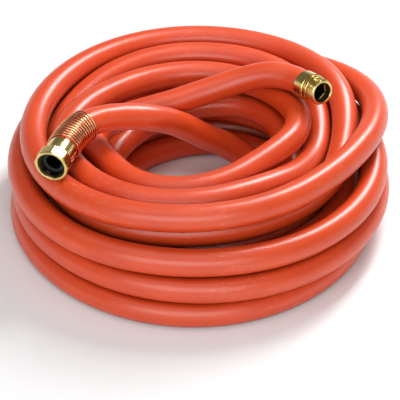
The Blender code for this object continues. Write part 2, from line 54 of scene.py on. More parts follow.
TURN_POINTS = 24
BLEND_TURNS = 0.104           # each point is the mean over this much of a turn
BLEND_SAMPLES = 11
SQUARE_END = 0.003            # each lead's ends run straight for this length

# The winding: (turn, strands in from the rim, strands up from the floor)
WINDING = [
    (0.70, 4.15, 0.20), (0.84, 3.72, 0.00), (1.00, 3.18, 0.00), (1.30, 3.13, 0.00),
    (1.45, 3.08, 0.00), (1.60, 2.52, 0.00), (1.78, 2.48, 0.00), (2.00, 2.10, 0.00),
    (2.30, 2.09, 0.00), (2.45, 2.05, 0.00), (2.60, 1.50, 0.00), (2.78, 1.46, 0.00),
    (3.00, 1.06, 0.00), (3.30, 1.05, 0.00), (3.45, 1.02, 0.00), (3.60, 0.48, 0.00),
    (3.78, 0.46, 0.00), (4.00, 0.02, 0.00), (4.30, -0.02, 0.02), (4.45, -0.06, 0.47),
    (4.60, -0.08, 0.87), (4.78, -0.06, 0.91), (4.90, 0.02, 0.99), (5.00, 0.17, 1.00),
    (5.22, 0.07, 1.01), (5.32, 0.28, 1.05), (5.45, 0.90, 1.02), (5.60, 0.98, 1.01),
    (5.78, 0.98, 1.01), (6.00, 1.28, 1.25), (6.22, 1.14, 1.09), (6.32, 1.33, 1.07),
    (6.45, 1.92, 1.02), (6.60, 2.01, 1.01), (6.78, 2.03, 1.01), (7.00, 2.33, 1.01),
    (7.12, 2.45, 1.03), (7.28, 3.05, 1.13), (7.42, 3.08, 1.45), (7.60, 2.54, 1.91),
    (7.67, 2.80, 1.78), (7.74, 3.15, 1.42), (7.86, 2.95, 1.75), (8.00, 2.62, 2.02),
    (8.12, 2.25, 2.02), (8.22, 2.10, 1.86), (8.42, 2.02, 2.01), (8.52, 1.20, 2.01),
    (8.62, 0.32, 1.96), (8.69, 0.08, 1.92), (8.80, 0.04, 1.91), (9.00, 0.42, 1.99),
    (9.14, -0.03, 2.01), (9.32, 0.04, 2.05), (9.50, -0.10, 2.04), (9.58, -0.48, 2.05),
    (9.63, -0.75, 2.22), (9.68, -0.64, 2.76), (9.72, -0.22, 2.98), (9.755, 0.36, 3.09),
    (9.785, 0.70, 3.20), (9.81, 1.00, 3.24), (9.89, 1.25, 3.27), (10.00, 1.22, 3.26),
    (10.07, 0.93, 3.21), (10.14, 0.58, 3.14), (10.25, 0.50, 3.08), (10.42, 0.25, 3.03),
    (10.60, 0.27, 3.03), (10.64, 0.30, 3.03), (10.67, 0.48, 3.04), (10.71, 0.92, 2.95),
    (10.74, 1.22, 2.55), (10.77, 1.30, 2.29), (10.90, 1.70, 2.29), (11.00, 1.65, 2.31),
    (11.05, 1.40, 2.29), (11.10, 1.16, 2.25), (11.16, 1.05, 2.21), (11.26, 1.10, 2.13),
    (11.31, 1.15, 2.33), (11.37, 1.27, 2.73), (11.42, 1.36, 3.00), (11.60, 1.40, 3.02),
    (11.66, 1.52, 2.84), (11.69, 1.62, 2.47), (11.72, 1.80, 2.15), (11.75, 2.34, 2.15),
    (11.79, 2.42, 2.25), (11.86, 2.56, 2.76), (11.91, 2.62, 3.02), (12.00, 2.27, 3.09),
    (12.06, 2.00, 3.08), (12.12, 1.68, 3.07), (12.22, 1.50, 3.07), (12.27, 1.60, 3.07),
    (12.32, 2.15, 3.00), (12.42, 2.50, 2.95), (12.60, 2.55, 2.90), (12.68, 2.56, 2.96),
    (12.75, 2.80, 3.16), (12.79, 3.20, 3.11), (12.84, 3.66, 3.02), (12.91, 3.64, 2.93),
    (13.00, 3.30, 2.87), (13.07, 2.97, 2.83), (13.12, 2.88, 2.80), (13.30, 3.02, 2.76),
]

# The two loose ends, given in the same way as the winding
FEMALE_LEAD = [
    (0.1822, 1.53, 4.23), (0.1905, 1.82, 4.23), (0.1985, 2.10, 4.22), (0.2053, 2.39, 4.20),
    (0.2110, 2.71, 4.17), (0.2158, 3.04, 4.13), (0.2203, 3.40, 4.07), (0.2260, 3.79, 3.98),
    (0.2335, 4.22, 3.85), (0.247, 4.64, 3.67), (0.294, 5.10, 3.31), (0.409, 5.32, 2.67),
    (0.527, 4.98, 1.85), (0.582, 4.38, 1.21), (0.614, 4.05, 0.80), (0.645, 3.84, 0.48),
    (0.676, 3.77, 0.27), (0.703, 3.79, 0.20),
]
MALE_LEAD = [
    (0.233, 2.63, 2.77), (0.250, 2.63, 2.77), (0.268, 2.74, 2.77), (0.288, 2.94, 2.78),
    (0.312, 3.31, 2.82), (0.342, 3.72, 2.85), (0.383, 4.08, 2.91), (0.440, 4.29, 3.02),
    (0.488, 4.23, 3.13), (0.536, 4.00, 3.28), (0.573, 3.63, 3.46), (0.606, 3.22, 3.69),
    (0.632, 2.84, 3.88), (0.652, 2.55, 3.93), (0.667, 2.35, 3.94),
]

# Where the couplings lie: mouth (as in the winding), and the way from it back to the hose
FEMALE_MOUTH = (0.1492, 0.20, 4.23)
FEMALE_BACK = (0.32, 0.947, 0.0)
MALE_MOUTH = (0.7236, 1.90, 4.21)
MALE_BACK = (-0.547, 0.811, -0.212)

# Depths measured back from each coupling's mouth
NUT_LENGTH = 0.0130
FERRULE_FRONT = 0.0133
FEMALE_SEAT = 0.0148
FERRULE_BACK = 0.0295
FEMALE_STRAIGHT_END = 0.0330
MALE_FERRULE_FRONT = 0.0163
MALE_SEAT = 0.0178
MALE_FERRULE_BACK = 0.0300
MALE_STRAIGHT_END = 0.0304

THREAD_PITCH = 0.0254 / 11.5
NUT_ACROSS_FLATS = 0.0330
NECK_HOLE_RADIUS = 0.0107     # the hole in the nut and the ferrules, round the neck
FERRULE_RADIUS = 0.0150
FERRULE_FRONT_WALL = 0.0012
GUARD_WIRE = 0.0019
GUARD_PITCH = 0.0038
GUARD_CURLS = 12.0
CURL_POINTS = 10

# ---------------------------------------------------------------- finer shapes of the pieces
# A profile's rows are (depth back from the mouth, radius), unless a comment says otherwise
ROUTE_SPAN_POINTS = 24        # between two guides of a lead
COIL_SAMPLES_PER_TURN = 96
ROUTE_SAMPLES = 6001
SAMPLE_LENGTH = 0.00195       # about the way from one sample to the next
SMOOTH_LENGTH = 0.003         # bends are smoothed over this length
SMOOTH_REACH = 4              # samples each way
HOSE_STEP = 0.0048
HOSE_SIDES = 28
FLAT_HEIGHT = 0.0003          # the flat underside lies this far above Z = 0
WELL_DEPTH = 0.030            # the bore is open this far in from each end
WELL_RINGS = 7

RIDGE_FOOT = 0.74             # a thread's ridge, in shares of half its pitch
RIDGE_FLANK = 0.52
THREAD_ROWS_PER_PITCH = 10

NUT_SEGMENTS = 128
NUT_CORNER_ROUNDING = 0.05
ROUNDING_START = 0.55         # share of a corner's height at which its rounding starts
NUT_BEVEL_LENGTH = 0.0022
NUT_FLAT_ROWS = 7
# the corners' bevels: (depth from the nut's own end, radius)
NUT_BACK_BEVEL = [(0.0, 0.0160), (0.0005, 0.01655), (0.0010, 0.0171), (0.0016, 0.01765)]
NUT_FRONT_BEVEL = [(0.0016, 0.0176), (0.0010, 0.0171), (0.0005, 0.0166), (0.00015, 0.0161)]
NUT_LIP = [(0.0, 0.0156), (0.0, 0.0145), (0.00015, 0.01415), (0.0006, 0.0138)]
NUT_THREAD = dict(start=0.0010, end=0.0073, root=0.0136, crest=0.0124, fade_in=0.0006,
                  fade_out=0.0005)
NUT_CHAMBER = [(0.0074, 0.0136), (0.0113, 0.0136), (0.0115, 0.0134),
               (0.0115, NECK_HOLE_RADIUS)]
NUT_BACK_FACE = [(NUT_LENGTH, NECK_HOLE_RADIUS), (NUT_LENGTH, 0.0146)]

WASHER_SEGMENTS = 64
WASHER_PROFILE = [(0.0074, 0.0121), (0.0096, 0.0121), (0.0096, 0.0080), (0.0074, 0.0080)]
WASHER_ROUNDING = 0.0005

FERRULE_SEGMENTS = 96
# rolled edges: (depth from the edge, how far in from the sleeve's radius)
FERRULE_FRONT_ROLL = [(0.0, 0.0012), (0.0002, 0.0005), (0.0007, 0.0)]
FERRULE_BACK_ROLL = [(0.0004, 0.0), (0.0001, 0.0002), (0.0, 0.0005)]

CURL_STEPS = 36
WIRE_SIDES = 12
HEADING_REACH = 0.003         # the guard follows the hose's heading over this far each way

STEM_SEGMENTS = 120
STEM_THREAD_ROOT = 0.012285
STEM_RIM = [(0.0, 0.0106), (0.0, 0.0122), (0.0004, 0.0127), (0.0010, 0.0127),
            (0.0013, STEM_THREAD_ROOT)]
STEM_THREAD = dict(start=0.0014, end=0.0098, root=STEM_THREAD_ROOT, crest=0.013485,
                   fade_in=0.0006, fade_out=0.0008)
STEM_COLLAR = [(0.0104, STEM_THREAD_ROOT), (0.0105, 0.0138), (0.0108, 0.01425),
               (0.0112, 0.0144), (0.0138, 0.0144), (0.0142, 0.01425), (0.0145, 0.0138)]
STEM_GROOVE = [(0.0145, 0.0131), (0.0160, 0.0131)]
STEM_NECK = [(0.0160, 0.0104), (0.0178, 0.0104)]
STEM_BARBS = 3
STEM_BARB_PITCH = 0.0037
# one barb: (depth from its front, radius)
STEM_BARB = [(0.0, 0.0087), (0.0008, 0.0092), (0.0035, 0.0087)]
STEM_END = (0.0290, 0.0087)
STEM_BORE = [(0.0290, 0.0074), (0.0152, 0.0074)]
HEX_TURN = math.pi / 6
HEX_ACROSS_FLATS = 0.01754
HEX_BACK = 0.0150
HEX_FRONT = 0.0088
# the bright rim where the hexagon opens into the round mouth
HEX_EDGE_ACROSS_FLATS = 0.0190
HEX_EDGE_RADIUS = 0.0101
COUNTERBORE_DEPTH = 0.0080
COUNTERBORE_RADIUS = 0.0103
COUNTERBORE_BEVEL = 0.0004

# ---------------------------------------------------------------- camera, floor and light
CAMERA_SENSOR = 36.0
CAMERA_LENS = 168.75
CAMERA_DISTANCE = 1.95
CAMERA_ELEVATION = math.radians(38.0)
CAMERA_CLIP_END = 50.0
# the middle of the view: sideways and in depth from the coil's centre, and above the floor
VIEW_RIGHT = 0.00156
VIEW_FORWARD = 0.00988
VIEW_HEIGHT = 0.0174

FLOOR_REACH = 4.0
FLOOR_DROP = 0.0002           # so that it doesn't meet the hose's underside
FLOOR_LIT = (0.80, 0.805, 0.81, 1.0)      # the tone that throws light back
FLOOR_SEEN = (0.90, 0.905, 0.91, 1.0)     # the tone that is looked at
PALE = 0.92                   # of the far floor and the horizon
DIM = 0.20                    # of the sky above them

LIGHT_TARGET = Vector((0.0, 0.0, 0.06))
KEY_POWER = 21.0
OVERHEAD_POWER = 9.0
FRONT_POWER = 26.0


def add_object(name, data):
    item = bpy.data.objects.new(name, data)
    bpy.context.scene.collection.objects.link(item)
    return item


def make_camera():
    """The photograph's view: from the front, 38 degrees down, from almost two metres."""
    data = bpy.data.cameras.new("camera")
    data.sensor_width = CAMERA_SENSOR
    data.lens = CAMERA_LENS
    data.clip_end = CAMERA_CLIP_END
    camera = add_object("camera", data)
    target = Vector((COIL_CENTRE[0] + VIEW_RIGHT, COIL_CENTRE[1] - VIEW_FORWARD, VIEW_HEIGHT))
    back = Vector((0.0, -math.cos(CAMERA_ELEVATION), math.sin(CAMERA_ELEVATION)))
    camera.location = target + CAMERA_DISTANCE * back
    camera.rotation_euler = back.to_track_quat("Z", "Y").to_euler()
    bpy.context.scene.camera = camera


# ---------------------------------------------------------------- routes
def strand_point(turn, strands_in, strands_up):
    """A point by its turn, its strands in from the rim and its strands up."""
    angle = -math.pi / 2 - 2 * math.pi * turn
    radius = RIM_RADIUS - strands_in * STRAND_PITCH
    return np.array([COIL_CENTRE[0] + radius * math.cos(angle),
                     COIL_CENTRE[1] + radius * math.sin(angle),
                     FLOOR_STRAND_HEIGHT + strands_up * STRAND_PITCH])


def coil_point(turn):
    """A point of the coil, its winding blended over a short stretch of the turn."""
    keys = np.array(WINDING)
    span = turn + np.linspace(-BLEND_TURNS / 2, BLEND_TURNS / 2, BLEND_SAMPLES)
    strands_in = np.interp(span, keys[:, 0], keys[:, 1]).mean()
    strands_up = np.interp(span, keys[:, 0], keys[:, 2]).mean()
    return strand_point(turn, strands_in, strands_up)


def straight_end(turn, step):
    """The point one diameter straight on from an end of the coil. The step, in turns, leads
    from that end into the coil."""
    start = coil_point(turn)
    heading = start - coil_point(turn + step)
    return start + heading / np.linalg.norm(heading) * HOSE_DIAMETER


def beyond(start, end):
    """A point a little further on in a straight line."""
    heading = end - start
    return end + heading / np.linalg.norm(heading) * SQUARE_END


def coupling_point(mouth, back, depth):
    """A point on a coupling's axis, at a depth back from its mouth."""
    direction = np.array(back) / np.linalg.norm(back)
    return strand_point(*mouth) + direction * depth


def smooth_route(guides):
    """A smooth curve through every guide but the first and the last, which only steer it."""
    points = np.array(guides)
    route = []
    for a, b, c, d in zip(points, points[1:], points[2:], points[3:]):
        before, span, after = [np.linalg.norm(v) for v in (b - a, c - b, d - c)]
        leave = (c - b) + span * ((b - a) / before - (c - a) / (before + span))
        arrive = (c - b) + span * ((d - c) / after - (d - b) / (span + after))
        for u in np.arange(ROUTE_SPAN_POINTS) / ROUTE_SPAN_POINTS:
            turn_in = 3 * u ** 2 - 2 * u ** 3
            route.append(b + (c - b) * turn_in + leave * (u - 2 * u ** 2 + u ** 3)
                         + arrive * (u ** 3 - u ** 2))
    route.append(points[-2])
    return np.array(route)


def lengths_along(route):
    """The length of a route up to each of its points."""
    steps = np.linalg.norm(np.diff(route, axis=0), axis=1)
    return np.concatenate([[0.0], np.cumsum(steps)])


def points_at(route, distances):
    """The points of a route at these lengths along it."""
    along = lengths_along(route)
    return np.stack([np.interp(distances, along, route[:, axis]) for axis in range(3)], axis=1)


def female_lead_route(coil_end, coil_start):
    """From behind the female coupling to the coil's first end."""
    depths = (-SQUARE_END, 0.0, SQUARE_END)
    guides = [coupling_point(FEMALE_MOUTH, FEMALE_BACK, FEMALE_STRAIGHT_END + d) for d in depths]
    guides += [strand_point(*point) for point in FEMALE_LEAD]
    return smooth_route(guides + [beyond(coil_start, coil_end), coil_end, coil_start])


def male_lead_route(coil_start, coil_end):
    """From the coil's last end to behind the male coupling."""
    depths = (SQUARE_END, 0.0, -SQUARE_END)
    guides = [coil_start, coil_end, beyond(coil_start, coil_end)]
    guides += [strand_point(*point) for point in MALE_LEAD]
    guides += [coupling_point(MALE_MOUTH, MALE_BACK, MALE_STRAIGHT_END + d) for d in depths]
    return smooth_route(guides)


def whole_route():
    """The hose's centreline from the female coupling's seat to the male one's."""
    short_step = 0.1 / TURN_POINTS      # a tenth of the way between the part's points
    first = straight_end(FIRST_TURN, short_step)
    last = straight_end(LAST_TURN, -short_step)
    count = round((LAST_TURN - FIRST_TURN) * COIL_SAMPLES_PER_TURN)
    turns = [FIRST_TURN + (LAST_TURN - FIRST_TURN) * k / count for k in range(count + 1)]
    coil = [coil_point(turn) for turn in turns]
    female = female_lead_route(first, coil[0])
    male = male_lead_route(coil[-1], last)
    front = coupling_point(FEMALE_MOUTH, FEMALE_BACK, FEMALE_SEAT)
    back = coupling_point(MALE_MOUTH, MALE_BACK, MALE_SEAT)
    route = np.array([front, *female[:-1], first, *coil, last, *male[1:], back])
    fine = points_at(route, np.linspace(0, lengths_along(route)[-1], ROUTE_SAMPLES))
    offsets = np.arange(-SMOOTH_REACH, SMOOTH_REACH + 1)
    window = np.exp(-0.5 * (offsets * SAMPLE_LENGTH / SMOOTH_LENGTH) ** 2)
    window /= window.sum()
    padded = np.concatenate([[fine[0]] * SMOOTH_REACH, fine, [fine[-1]] * SMOOTH_REACH])
    smooth = np.stack([np.convolve(padded[:, k], window, "valid") for k in range(3)], axis=1)
    length = lengths_along(smooth)[-1]
    return points_at(smooth, np.linspace(0, length, round(length / HOSE_STEP) + 1)), length


# ---------------------------------------------------------------- meshes
def put(name, verts, faces, material, smooth=True):
    """A new mesh object in the scene."""
    data = bpy.data.meshes.new(name)
    data.from_pydata([tuple(v) for v in verts], [], faces)
    data.update()
    data.materials.append(material)
    if smooth:
        data.shade_smooth()
    return add_object(name, data)


def circles_across(points, sides_round):
    """A unit circle square to the route at each of its points, turning as little as it can."""
    heads = np.gradient(points, axis=0)
    heads /= np.linalg.norm(heads, axis=1)[:, None]
    side = np.cross(heads[0], (0, 0, 1.0))
    side /= np.linalg.norm(side)
    sides = []
    for head in heads:
        side = side - head * (side @ head)
        side /= np.linalg.norm(side)
        sides.append(side)
    sides = np.array(sides)
    ups = np.cross(heads, sides)
    angles = 2 * math.pi * np.arange(sides_round) / sides_round
    return (np.cos(angles)[None, :, None] * sides[:, None, :]
            + np.sin(angles)[None, :, None] * ups[:, None, :])


def tube(name, rings, along, material):
    """A tube through rings of points, closed at its ends. Its map has u round it and v,
    in metres, along it."""
    count, sides_round = rings.shape[:2]
    faces, uvs = [], []
    for k in range(count - 1):
        row = k * sides_round
        for s in range(sides_round):
            t = (s + 1) % sides_round
            faces.append((row + s, row + t, row + sides_round + t, row + sides_round + s))
            a, b = s / sides_round, (s + 1) / sides_round
            uvs += [a, along[k], b, along[k], b, along[k + 1], a, along[k + 1]]
    faces.append(tuple(range(sides_round - 1, -1, -1)))
    faces.append(tuple(range((count - 1) * sides_round, count * sides_round)))
    uvs += [0.5, 0.0] * (2 * sides_round)
    item = put(name, rings.reshape(-1, 3), faces, material)
    item.data.uv_layers.new(name="wrap").data.foreach_set("uv", np.array(uvs, dtype=np.float32))
    return item


def hose_mesh(material):
    """The hose, hollow for a short way in from each end, flat where it lies."""
    points, length = whole_route()
    across = circles_across(points, HOSE_SIDES)
    outer = points[:, None, :] + HOSE_RADIUS * across
    low = outer[..., 2]
    flat_from = 2 * FLAT_HEIGHT
    flattened = FLAT_HEIGHT + FLAT_HEIGHT * np.exp(low / flat_from - 1)
    outer[..., 2] = np.where(low < flat_from, flattened, low)
    # the bore at each end: the route doubled back inside the wall
    inside_first = points_at(points, np.linspace(WELL_DEPTH, 0.0, WELL_RINGS))
    inside_last = points_at(points, np.linspace(length, length - WELL_DEPTH, WELL_RINGS))
    first_well = inside_first[:, None, :] + HOSE_BORE / 2 * across[0][None]
    last_well = inside_last[:, None, :] + HOSE_BORE / 2 * across[-1][None]
    rings = np.concatenate([first_well, outer, last_well])
    along = np.concatenate([np.full(WELL_RINGS, 0.0), lengths_along(points),
                            np.full(WELL_RINGS, length)])
    return tube("hose", rings, along, material), points, length


def coupling_matrix(mouth, back):
    """A coupling's place: Z points out of its mouth, and X is level."""
    out = -Vector(back).normalized()
    side = Vector((0, 0, 1)).cross(out).normalized()
    above = out.cross(side)
    place = Matrix((side, above, out)).transposed().to_4x4()
    place.translation = Vector(strand_point(*mouth))
    return place


def finished(material, rows):
    """The same rows, the faces that start at them in a material of their own."""
    return [(*row, material) for row in rows]


def lathe(name, rows, place, material, segments, twist=0.0):
    """A closed turned piece. A row is a depth, a radius or a function of the angle that
    gives it, and where the faces that start at it differ from the rest, their material."""
    angles = twist + 2 * math.pi * np.arange(segments) / segments
    verts = []
    for depth, radius, *_ in rows:
        reach = radius(angles) if callable(radius) else np.full(segments, radius)
        verts.append(np.stack([reach * np.cos(angles), reach * np.sin(angles),
                               np.full(segments, -depth)], axis=1))
    matrix = np.array(place)
    verts = np.concatenate(verts) @ matrix[:3, :3].T + matrix[:3, 3]
    faces = []
    for k in range(len(rows)):
        row = k * segments
        after = (k + 1) % len(rows) * segments
        for s in range(segments):
            t = (s + 1) % segments
            faces.append((row + s, after + s, after + t, row + t))
    item = put(name, verts, faces, material)
    finishes = [material]
    slots = []
    for row in rows:
        finish = row[2] if len(row) > 2 else material
        if finish not in finishes:
            finishes.append(finish)
            item.data.materials.append(finish)
        slots += [finishes.index(finish)] * segments
    item.data.polygons.foreach_set("material_index", slots)
    return item


def crisp(item, degrees):
    """Shade edges sharper than this angle as edges."""
    item.data.set_sharp_from_angle(angle=math.radians(degrees))


def polygon(sides, across_flats, turn=0.0, rounding=0.0):
    """A function that gives a polygon's reach at each angle, its corners rounded if asked."""
    facet_angle = 2 * math.pi / sides
    corner = 1 / math.cos(facet_angle / 2)

    def reach(angles):
        sharp = 1 / np.cos((angles - turn) % facet_angle - facet_angle / 2)
        near_corner = np.clip((sharp - 1) / (corner - 1) - ROUNDING_START, 0, 1)
        return across_flats / 2 * (sharp - rounding * near_corner ** 2)
    return reach


def within(shape, radius):
    """A function that gives a shape's reach, held to a radius."""
    return lambda angles: np.minimum(shape(angles), radius)


def thread_height(turns):
    """The height of a thread's ridge, 0 to 1, over one turn's pitch."""
    off = np.abs((turns % 1.0) - 0.5) * 2
    height = np.clip((RIDGE_FOOT - off) / RIDGE_FLANK, 0.0, 1.0)
    return height * height * (3 - 2 * height)


def thread_rows(start, end, root, crest, fade_in, fade_out):
    """Rows of a right-hand thread between two depths, fading at its ends."""
    count = max(2, round((end - start) / THREAD_PITCH * THREAD_ROWS_PER_PITCH))
    rows = []
    for depth in np.linspace(start, end, count + 1):
        fade = max(0.0, min(1.0, (depth - start) / fade_in, (end - depth) / fade_out))

        def reach(angles, depth=depth, fade=fade):
            turns = depth / THREAD_PITCH + angles / (2 * math.pi)
            return root + (crest - root) * fade * thread_height(turns)
        rows.append((depth, reach))
    return rows


def rounded(points, radius, steps=4, most=0.45):
    """Corners of a closed profile, each turned into a small arc that takes up at most this
    share of a side."""
    result = []
    count = len(points)
    for k in range(count):
        before, here, after = [np.array(points[(k + d) % count]) for d in (-1, 0, 1)]
        to_before = before - here
        to_after = after - here
        reach = min(radius, most * np.linalg.norm(to_before), most * np.linalg.norm(to_after))
        start = here + to_before / np.linalg.norm(to_before) * reach
        end = here + to_after / np.linalg.norm(to_after) * reach
        for u in np.linspace(0, 1, steps + 1):
            result.append(tuple((1 - u) ** 2 * start + 2 * u * (1 - u) * here + u * u * end))
    return result


# ---------------------------------------------------------------- materials
def shader_material(name):
    """A new material, its node tree and its shader."""
    material = bpy.data.materials.new(name)
    material.use_nodes = True
    tree = material.node_tree
    return material, tree, tree.nodes["Principled BSDF"]


def node(tree, kind, **settings):
    """A new node, each setting given to its input of that name or else to the node."""
    made = tree.nodes.new(kind)
    for key, value in settings.items():
        if key in made.inputs:
            made.inputs[key].default_value = value
        else:
            setattr(made, key, value)
    return made


def feed(tree, slot, value):
    """Link a socket to an input, or set the input to a value."""
    if isinstance(value, bpy.types.NodeSocket):
        tree.links.new(value, slot)
    else:
        slot.default_value = value


def math_node(tree, operation, first, second):
    made = node(tree, "ShaderNodeMath", operation=operation)
    feed(tree, made.inputs[0], first)
    feed(tree, made.inputs[1], second)
    return made.outputs[0]


def noise(tree, where, **settings):
    made = node(tree, "ShaderNodeTexNoise", **settings)
    tree.links.new(where, made.inputs["Vector"])
    return made.outputs[0]


def ramp(tree, factor, stops):
    """A colour by position, between two or more (position, colour) stops."""
    made = tree.nodes.new("ShaderNodeValToRGB")
    made.color_ramp.elements[0].position = stops[0][0]
    made.color_ramp.elements[0].color = stops[0][1]
    made.color_ramp.elements[1].position = stops[-1][0]
    made.color_ramp.elements[1].color = stops[-1][1]
    for position, colour in stops[1:-1]:
        made.color_ramp.elements.new(position).color = colour
    tree.links.new(factor, made.inputs[0])
    return made.outputs[0]


def mixed(tree, factor, first, second, blend="MIX"):
    """Two colours mixed. Each value may be a number, a colour or a socket."""
    made = node(tree, "ShaderNodeMix", data_type="RGBA", blend_type=blend)
    feed(tree, made.inputs["Factor"], factor)
    feed(tree, made.inputs["A"], first)
    feed(tree, made.inputs["B"], second)
    return made.outputs["Result"]


def roughen(tree, shader, height, strength, distance):
    """Give a surface small bumps."""
    bump = node(tree, "ShaderNodeBump", Strength=strength, Distance=distance)
    tree.links.new(height, bump.inputs["Height"])
    tree.links.new(bump.outputs[0], shader.inputs["Normal"])


def grey(value):
    return (value, value, value, 1.0)


def red_rubber():
    """Red rubber, faintly ringed by the cloth that it was wrapped in when it was cured,
    with pale scuffs and scratches, and painted shade: darker where strands lie close together."""
    material, tree, shader = shader_material("red_rubber")
    link = tree.links.new
    place = node(tree, "ShaderNodeTexCoord").outputs["Object"]
    wrap = node(tree, "ShaderNodeUVMap", uv_map="wrap").outputs[0]
    blotch = noise(tree, place, Scale=22.0, Detail=3.0, Roughness=0.55)
    fine = noise(tree, place, Scale=900.0, Detail=4.0, Roughness=0.6)

    # rings: a noise of the length along the hose, a little astray round it
    split = node(tree, "ShaderNodeSeparateXYZ")
    link(wrap, split.inputs[0])
    bands_per_metre = 820.0
    along = math_node(tree, "MULTIPLY", split.outputs[1], bands_per_metre)
    bands = node(tree, "ShaderNodeTexNoise", noise_dimensions="1D", Scale=1.0, Detail=2.0,
                 Roughness=0.7)
    link(math_node(tree, "ADD", along, math_node(tree, "MULTIPLY", blotch, 3.0)),
         bands.inputs["W"])

    colour = ramp(tree, blotch,
                  [(0.30, (0.630, 0.056, 0.009, 1)), (0.70, (0.700, 0.070, 0.013, 1))])
    # pale scuffs where strands have rubbed on each other
    scuff = noise(tree, place, Scale=140.0, Detail=6.0, Roughness=0.75)
    colour = mixed(tree, ramp(tree, scuff, [(0.56, grey(0.0)), (0.80, grey(0.20))]),
                   colour, (0.80, 0.20, 0.11, 1.0))
    # sparse scratches along the hose, in patches
    stretched = node(tree, "ShaderNodeMapping", Scale=(46.0, 110.0, 1.0))
    link(wrap, stretched.inputs["Vector"])
    scratch = noise(tree, stretched.outputs[0], Scale=1.0, Detail=4.0, Roughness=0.65)
    patch = noise(tree, place, Scale=14.0, Detail=1.0)
    worn = math_node(tree, "MULTIPLY",
                     ramp(tree, scratch, [(0.56, grey(0.0)), (0.72, grey(0.42))]),
                     ramp(tree, patch, [(0.56, grey(0.0)), (0.64, grey(1.0))]))
    colour = mixed(tree, worn, colour, (0.86, 0.36, 0.24, 1.0))
    # painted shade between strands: the colour is darkened by ambient occlusion where strands
    # lie close together
    nearness = node(tree, "ShaderNodeAmbientOcclusion", samples=6, Distance=0.02)
    painted_crevice_shade = ramp(tree, nearness.outputs["AO"], [(0.05, grey(0.30)), (0.50, grey(1.0))])
    link(mixed(tree, 1.0, colour, painted_crevice_shade, "MULTIPLY"), shader.inputs["Base Color"])

    rough = math_node(tree, "ADD", math_node(tree, "MULTIPLY", fine, 0.10),
                      math_node(tree, "MULTIPLY", bands.outputs[0], 0.10))
    link(math_node(tree, "ADD", rough, 0.24), shader.inputs["Roughness"])
    shader.inputs["Specular IOR Level"].default_value = 0.68
    height = math_node(tree, "ADD", math_node(tree, "MULTIPLY", bands.outputs[0], 0.7),
                       math_node(tree, "MULTIPLY", fine, 0.3))
    roughen(tree, shader, height, strength=0.18, distance=0.0003)
    return material


def metal(name, bright, dark, roughness):
    """Metal, blotched with tarnish that is darker and duller."""
    material, tree, shader = shader_material(name)
    place = node(tree, "ShaderNodeTexCoord").outputs["Object"]
    tarnish = noise(tree, place, Scale=70.0, Detail=5.0, Roughness=0.6)
    colour = ramp(tree, tarnish, [(0.35, (*dark, 1)), (0.62, (*bright, 1))])
    tree.links.new(colour, shader.inputs["Base Color"])
    shader.inputs["Metallic"].default_value = 1.0
    rough = math_node(tree, "MULTIPLY", tarnish, 0.14)
    tree.links.new(math_node(tree, "ADD", rough, roughness - 0.05), shader.inputs["Roughness"])
    fine = noise(tree, place, Scale=1400.0, Detail=2.0)
    roughen(tree, shader, fine, strength=0.06, distance=0.0001)
    return material


def grained(name, colour, roughness, scale):
    """A matt material, its colour and its surface varied by a fine grain."""
    material, tree, shader = shader_material(name)
    place = node(tree, "ShaderNodeTexCoord").outputs["Object"]
    grain = noise(tree, place, Scale=scale, Detail=4.0)
    spread = 0.25
    low = tuple(c * (1 - spread) for c in colour) + (1,)
    high = tuple(min(1.0, c * (1 + spread)) for c in colour) + (1,)
    tree.links.new(ramp(tree, grain, [(0.3, low), (0.7, high)]), shader.inputs["Base Color"])
    shader.inputs["Roughness"].default_value = roughness
    roughen(tree, shader, grain, strength=0.15, distance=0.0002)
    return material


RED = red_rubber()
BRASS = metal("brass", (0.83, 0.66, 0.28), (0.62, 0.45, 0.14), 0.15)
# painted shade: near-black brass for the insides of the couplings, standing in for the shade and
# dark reflections there
PAINTED_SHADE_BRASS = metal("painted_shade_brass", (0.070, 0.052, 0.022), (0.020, 0.016, 0.008), 0.26)
# painted shade, lighter: darkened, rougher brass for the walls inside the male stem's mouth,
# standing in for the shade there
PAINTED_HALF_SHADE_BRASS = metal("painted_half_shade_brass", (0.52, 0.39, 0.15), (0.30, 0.22, 0.08), 0.36)
COPPER = metal("coppered_steel", (0.88, 0.42, 0.21), (0.58, 0.23, 0.09), 0.15)
BLACK = grained("black_rubber", (0.010, 0.0095, 0.0095), 0.6, 400.0)
CORD = grained("polyester_cord", (0.66, 0.63, 0.56), 0.8, 900.0)


# ---------------------------------------------------------------- pieces
def build_hose():
    item, points, length = hose_mesh(RED)
    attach(item, "hose")
    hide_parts("hose_coil", "hose_lead_female", "hose_lead_male",
                "hose_cover_female", "hose_cover_male")
    return item, points, length


def build_nut(place):
    """An octagon with its corners turned down, threaded inside, bright brass outside and painted
    shade inside.
    """
    flats = polygon(8, NUT_ACROSS_FLATS, rounding=NUT_CORNER_ROUNDING)
    # the outer side from the back to the mouth, then the inner side back again
    rows = [(NUT_LENGTH - d, within(flats, radius)) for d, radius in NUT_BACK_BEVEL]
    rows += [(depth, flats) for depth in np.linspace(NUT_LENGTH - NUT_BEVEL_LENGTH,
                                                     NUT_BEVEL_LENGTH, NUT_FLAT_ROWS)]
    rows += [(depth, within(flats, radius)) for depth, radius in NUT_FRONT_BEVEL]
    # painted shade: the nut's thread and chamber are near-black brass, standing in for the shade
    # and dark reflections inside
    rows += NUT_LIP + finished(PAINTED_SHADE_BRASS, thread_rows(**NUT_THREAD) + NUT_CHAMBER)
    rows += NUT_BACK_FACE
    item = lathe("nut_shell", rows[::-1], place, BRASS, NUT_SEGMENTS, twist=math.pi / 8)
    crisp(item, degrees=22)
    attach(item, "nut")
    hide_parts("swivel_nut")


def build_washer(place):
    profile = rounded(WASHER_PROFILE, WASHER_ROUNDING)
    item = lathe("washer", profile[::-1], place, BLACK, WASHER_SEGMENTS)
    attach(item, "nut")
    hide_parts("sealing_washer")


